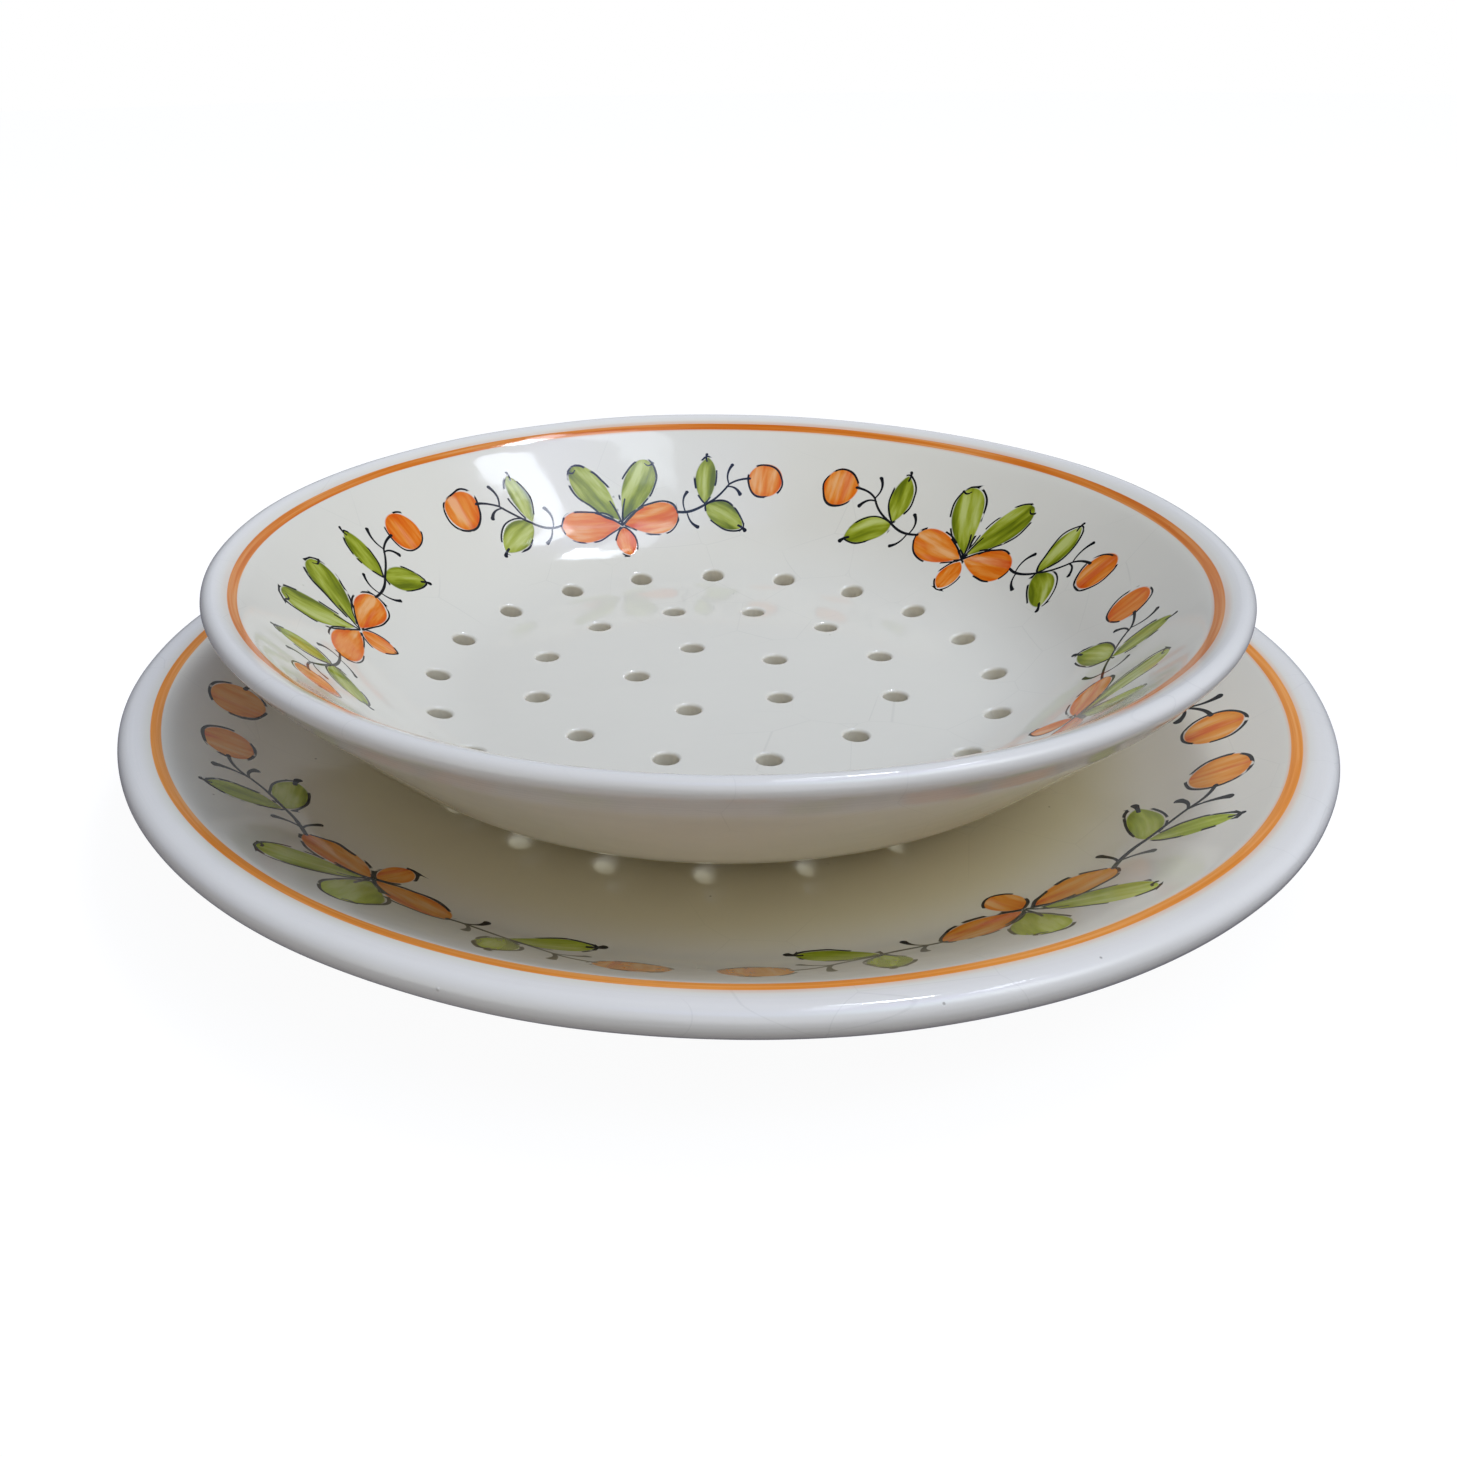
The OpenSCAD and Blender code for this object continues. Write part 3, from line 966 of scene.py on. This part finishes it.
def painted_glaze(name, sprig, paints, layout, stripe, wall, foot, pool_and_shade_r=None):
    """Glaze with five sprigs and a stripe on the upper side, and bare clay under the foot."""
    material = bpy.data.materials.new(name)
    recipe = Recipe(material)
    maths, soft_step, mixed = recipe.maths, recipe.soft_step, recipe.mixed
    spot = Spot(recipe)
    number, along, up = nearest_sprig(recipe, spot, layout, wall["slope"])
    painter, bend, stray = drawn_sprig(recipe, spot, along, up, layout["pen"], sprig)
    thin, redder = brush_load(recipe, painter, number, along, bend)
    line, line_load = wheel_stripe(recipe, spot, stripe)
    craze, beads, pits = glaze_flaws(recipe, spot, stray)

    # Only the upper side is painted: the height over the wall's slope, drawn on, tells the side.
    above = maths("MULTIPLY_ADD", spot.r, -math.tan(wall["slope"]), spot.z + wall["drop"])
    upper = soft_step(above, -3.2, -2.6)
    colour, rim = ground(recipe, spot, stripe, pool_and_shade_r, upper)
    colour = mixed(craze, colour, craze_colour)
    colour = mixed(painter.green * upper, colour, recipe.ramp(thin, paints["leaf"]))
    petal = mixed(redder, recipe.ramp(thin, paints["orange"]), recipe.ramp(thin, paints["red"]))
    colour = mixed(painter.orange * upper, colour, petal)
    colour = mixed(line * upper, colour, recipe.ramp(line_load, paints["stripe"]))
    colour = mixed(painter.ink * upper, colour, ink_colour)
    colour = mixed(pits, colour, pit_colour)
    foot_from, foot_to, foot_top = foot
    bare = soft_step(spot.z, foot_top + 0.5, foot_top) * soft_step(spot.r, foot_from - 1, foot_from)
    bare = bare * soft_step(spot.r, foot_to + 1, foot_to)
    colour = mixed(bare, colour, clay_colour)

    # Glaze runs a little thick and thin, so reflections in it are never quite straight.
    flow = recipe.noise(spot.place, 0.02) * flow_height
    flow = flow + recipe.noise(spot.place, 0.07, 2.0) * ripple_height
    relief = maths("MAXIMUM", painter.green, painter.orange) * upper * paint_height
    wheel = recipe.vector(spot.x / 60, spot.y / 60, spot.r * 1.2 + spot.z * 1.2)
    rings = recipe.noise(wheel, 1.0, 2.0) * ring_height
    rings = rings + recipe.noise(spot.place, 0.9) * grain_height
    height = flow + relief + rings * rim + beads * bead_height - pits * pit_depth
    bump = recipe.node("ShaderNodeBump", {}, {"Strength": 1.0, "Distance": MM, "Height": height})
    rough = maths("MULTIPLY_ADD", bare, clay_rough - glaze_rough, glaze_rough)
    values = {"Base Color": colour, "Roughness": rough, "IOR": 1.5, "Normal": bump}
    surface = recipe.node("ShaderNodeBsdfPrincipled", {}, values)
    recipe.node("ShaderNodeOutputMaterial", {}, {"Surface": surface})
    print(name, "uses", len(recipe.tree.nodes), "nodes")
    return material


# %% [markdown]
# ## Painting both pieces
# A layout says where the first flower stands, how the others drift, the radius that the border
# follows, how far it is stretched along the rim and lifted up the wall, and the pen for its
# outlines. The plate was painted with a broader pen than the bowl.

# %% Where the borders and stripes go
bowl_layout = {
    "first": 36,
    "drift": (3.09, 4.11, -33.2, 0.68, -119.9),
    "r": 92,
    "stretch": 1.0,
    "lift": 9.9,
    "pen": 0.22,
}
plate_layout = {
    "first": 16,
    "drift": (-0.34, 6.11, -1.7, 1.91, 84.8),
    "r": 110,
    "stretch": 1.07,
    "lift": 9.8,
    "pen": 0.32,
}
bowl_stripe = (106.15, 108.1, 108.8)
plate_stripe = (125.6, 127.8, 128.3)
print("sprigs follow radii of", bowl_layout["r"], "and", plate_layout["r"], "mm")

# %% Paint both pieces
bowl_wall = {"slope": bowl_slope, "drop": floor_corner.x * math.tan(bowl_slope) - floor_height}
plate_wall = {"slope": plate_slope, "drop": well.x * math.tan(plate_slope) - well_height}
bare_height = 0.4
bowl_foot = (foot_in, foot_out, foot_height + bare_height)
plate_foot = (plate_foot_in, plate_foot_out, bare_height)
plate_glaze = painted_glaze(
    "plate_glaze",
    plate_sprig,
    plate_paints,
    plate_layout,
    plate_stripe,
    plate_wall,
    plate_foot,
    # Inside this radius the well gets pooled glaze and painted shade.
    pool_and_shade_r=92,
)
bowl_glaze = painted_glaze(
    "bowl_glaze", bowl_sprig, bowl_paints, bowl_layout, bowl_stripe, bowl_wall, bowl_foot
)
plate_piece.data.materials.append(plate_glaze)
bowl_piece.data.materials.append(bowl_glaze)

# %% [markdown]
# ## Camera
# The lens and the place of the camera were worked out from how round each rim looks in the
# photograph. The small roll is that of the hand that held it, and the shift says that the picture
# was cropped a little off its middle.

# %% Place the camera
camera = bpy.data.objects.new("camera", bpy.data.cameras.new("camera"))
bpy.context.scene.collection.objects.link(camera)
camera.data.sensor_width = 36
camera.data.lens = 35.18
camera.data.shift_x, camera.data.shift_y = 0.0717, 0.0064
eye = Vector((0, -308.3, 163.2)) * MM
target = Vector((-19.08, -37.24, 24)) * MM
roll = math.radians(-0.887)
camera.location = eye
tilt = (target - eye).to_track_quat("-Z", "Y").to_matrix()
camera.rotation_euler = (tilt @ Matrix.Rotation(roll, 3, "Z")).to_euler()
bpy.context.scene.camera = camera
print("camera", round((target - eye).length, 3), "m from what it looks at")

# %% [markdown]
# ## Floor
# To the camera the floor is nearly white and keeps a soft shadow under the plate. To every other
# ray it is a dark, bluish table, which gives the undersides of the rims their cool shade. A Light
# Path node tells the kinds of ray apart, so the white puts no more light on the pieces.

# %% Lay the floor
bm = bmesh.new()
bmesh.ops.create_circle(bm, cap_ends=True, segments=96, radius=3.0)
mesh = bpy.data.meshes.new("floor")
bm.to_mesh(mesh)
bm.free()
floor = bpy.data.objects.new("floor", mesh)
bpy.context.scene.collection.objects.link(floor)

sheet = bpy.data.materials.new("floor_sheet")
recipe = Recipe(sheet)
ray = recipe.node("ShaderNodeLightPath", output="Is Camera Ray")
seen = recipe.maths("MAXIMUM", ray, ray.out("Is Transmission Ray"))
white = recipe.node("ShaderNodeEmission", {}, {"Color": (1, 1, 1, 1), "Strength": 0.94})
shadow = recipe.node("ShaderNodeBsdfDiffuse", {}, {"Color": (0.1, 0.1, 0.1, 1)})
table = recipe.node("ShaderNodeEmission", {}, {"Color": (0.08, 0.085, 0.13, 1)})
pale = recipe.node("ShaderNodeAddShader", {}, {0: white, 1: shadow})
either = recipe.node("ShaderNodeMixShader", {}, {0: seen, 1: table, 2: pale})
recipe.node("ShaderNodeOutputMaterial", {}, {"Surface": either})
floor.data.materials.append(sheet)

# %% [markdown]
# ## Sky
# The room is dark with soft patches of light, each brightest in one direction and fading round it.
# A picture of a room could light the set as well, but patches can be set one by one, until each
# side of the two pieces has its shade. Directions are counted from +X towards +Y, which is away
# from the camera.

# %% Patches of light
# Each patch: direction and height in degrees, how tight it is, and its colour.
sky = [
    (345, 50, 40, (3.75, 4.05, 4.3)),
    (315, 60, 40, (1.5, 2.2, 2.5)),
    (0, 70, 40, (1.0, 1.0, 2.4)),
    (270, 70, 40, (0.55, 0.75, 1.6)),
    (270, 35, 20, (0.62, 0.6, 0.62)),
    (225, 8, 12, (1.45, 1.48, 1.36)),
    (225, 42, 12, (0.34, 0.35, 0.38)),
    (180, 18, 12, (0.1, 0.14, 0.34)),
    (90, 20, 12, (0.42, 0.43, 0.44)),
    (15, 18, 12, (0.8, 0.81, 0.93)),
    (285, 26, 12, (1.0, 1.01, 1.1)),
]
room = bpy.data.worlds.new("room")
bpy.context.scene.world = room
recipe = Recipe(room)
facing = recipe.node("ShaderNodeTexCoord", output="Generated")
glow = (0.0, 0.0, 0.0)
for direction, height, tight, colour in sky:
    level = math.cos(math.radians(height))
    along_x, along_y = math.cos(math.radians(direction)), math.sin(math.radians(direction))
    towards = (level * along_x, level * along_y, math.sin(math.radians(height)))
    both = {0: facing, 1: towards}
    near = recipe.node("ShaderNodeVectorMath", {"operation": "DOT_PRODUCT"}, both, 1)
    share = recipe.maths("MAXIMUM", near, 0.0) ** tight
    added = {0: share, 1: colour, 2: glow}
    glow = recipe.node("ShaderNodeVectorMath", {"operation": "MULTIPLY_ADD"}, added)
walls = recipe.node("ShaderNodeBackground", {}, {"Color": glow})
white = recipe.node("ShaderNodeBackground", {}, {"Color": (1, 1, 1, 1)})
ray = recipe.node("ShaderNodeLightPath", output="Is Camera Ray")
seen = recipe.node("ShaderNodeMixShader", {}, {0: ray, 1: walls, 2: white})
recipe.node("ShaderNodeOutputWorld", {}, {"Surface": seen})
print("patches of light in the sky:", len(sky))

# %% [markdown]
# ## Windows
# Glaze mirrors the windows. The photograph shows where: a bright patch left of a flower, another
# below it and a faint veil to its right. Following those places back off the bowl's wall leads to
# three panes. A small, very bright one puts the glint on both lips. The bright cloud is left out
# of the mirror. It sends light down through the drain holes, which makes the soft spots on the
# plate below.


# %% Hang the windows
def window(name, x, y, z, width, height, turn, brightness):
    """A lamp as a bright pane; brightness is how many times whiter than the floor it looks."""
    lamp = bpy.data.lights.new(name, "AREA")
    lamp.shape = "RECTANGLE"
    lamp.size, lamp.size_y = width, height
    lamp.energy = brightness * math.pi * width * height
    lamp.color = (0.92, 1.0, 1.12)
    pane = bpy.data.objects.new(name, lamp)
    bpy.context.scene.collection.objects.link(pane)
    pane.location = (x, y, z)
    pane.rotation_euler = (0, 0, math.radians(turn))
    return pane


window("window_right", 0.60, 0.14, 1.2, 0.12, 0.28, -8, 6.5)
window("window_left", 0.22, 0.08, 1.2, 0.13, 0.50, 0, 2.4)
window("window_low", 0.28, 0.42, 1.2, 0.18, 0.16, 0, 8)
window("window_glare", 0.32, 0.38, 1.19, 0.09, 0.16, 0, 40)
bright_cloud = window("bright_cloud", 0.36, 0.20, 1.25, 0.30, 0.42, 16, 9)
bright_cloud.data.color = (0.82, 0.97, 1.28)
bright_cloud.visible_glossy = False
bpy.context.scene.view_settings.view_transform = "Standard"
